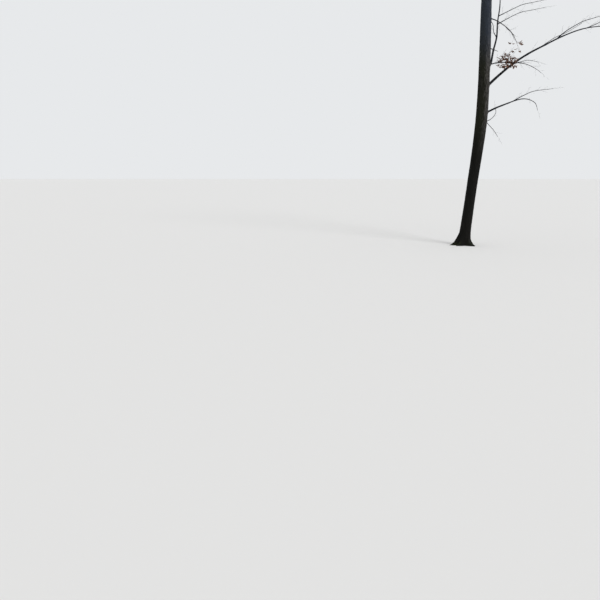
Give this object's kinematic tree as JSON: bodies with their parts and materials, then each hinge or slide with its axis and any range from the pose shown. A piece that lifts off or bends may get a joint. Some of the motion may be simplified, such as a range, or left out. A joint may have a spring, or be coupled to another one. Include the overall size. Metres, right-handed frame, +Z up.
{
  "type": "leafless broadleaf woodland tree",
  "caption": "Standing leafless woodland tree: a leaning, sweeping stem on a root flare, low side branches on one side and a light ascending crown.",
  "frame": {"origin": "ground level in the middle of the stem's foot", "axes": "+Z up along the tree, +X to the side on which the low branches grow, which is the right in the picture, +Y away from the viewer"},
  "size_m": [5.5761, 4.0364, 15],
  "materials": {
    "bark": "fissured grey-brown bark with green algae",
    "limb_bark": "thin dark bark, smooth to finely cracked",
    "dry_leaf": "thin dry brown leaf, dull"
  },
  "bodies": {
    "root": {"stem": "bark", "leader": "bark", "root_1": "bark", "root_2": "bark", "root_3": "bark", "root_4": "bark", "root_5": "bark", "root_6": "bark", "hooked_shoot": "limb_bark", "low_shoot": "limb_bark", "arched_branch": "limb_bark", "long_limb": "limb_bark", "steep_limb": "limb_bark", "thin_branch": "limb_bark", "dead_stub": "limb_bark", "drooping_branch": "limb_bark", "fork_1": "limb_bark", "fork_2": "limb_bark", "limb_01": "limb_bark", "limb_02": "limb_bark", "limb_03": "limb_bark", "limb_04": "limb_bark", "limb_05": "limb_bark", "limb_06": "limb_bark", "limb_07": "limb_bark", "limb_08": "limb_bark", "limb_09": "limb_bark", "limb_10": "limb_bark", "limb_11": "limb_bark", "limb_12": "limb_bark", "limb_13": "limb_bark", "limb_14": "limb_bark", "limb_15": "limb_bark", "limb_16": "limb_bark", "limb_17": "limb_bark", "limb_18": "limb_bark", "limb_19": "limb_bark", "limb_20": "limb_bark", "limb_21": "limb_bark"}
  },
  "joints": []
}
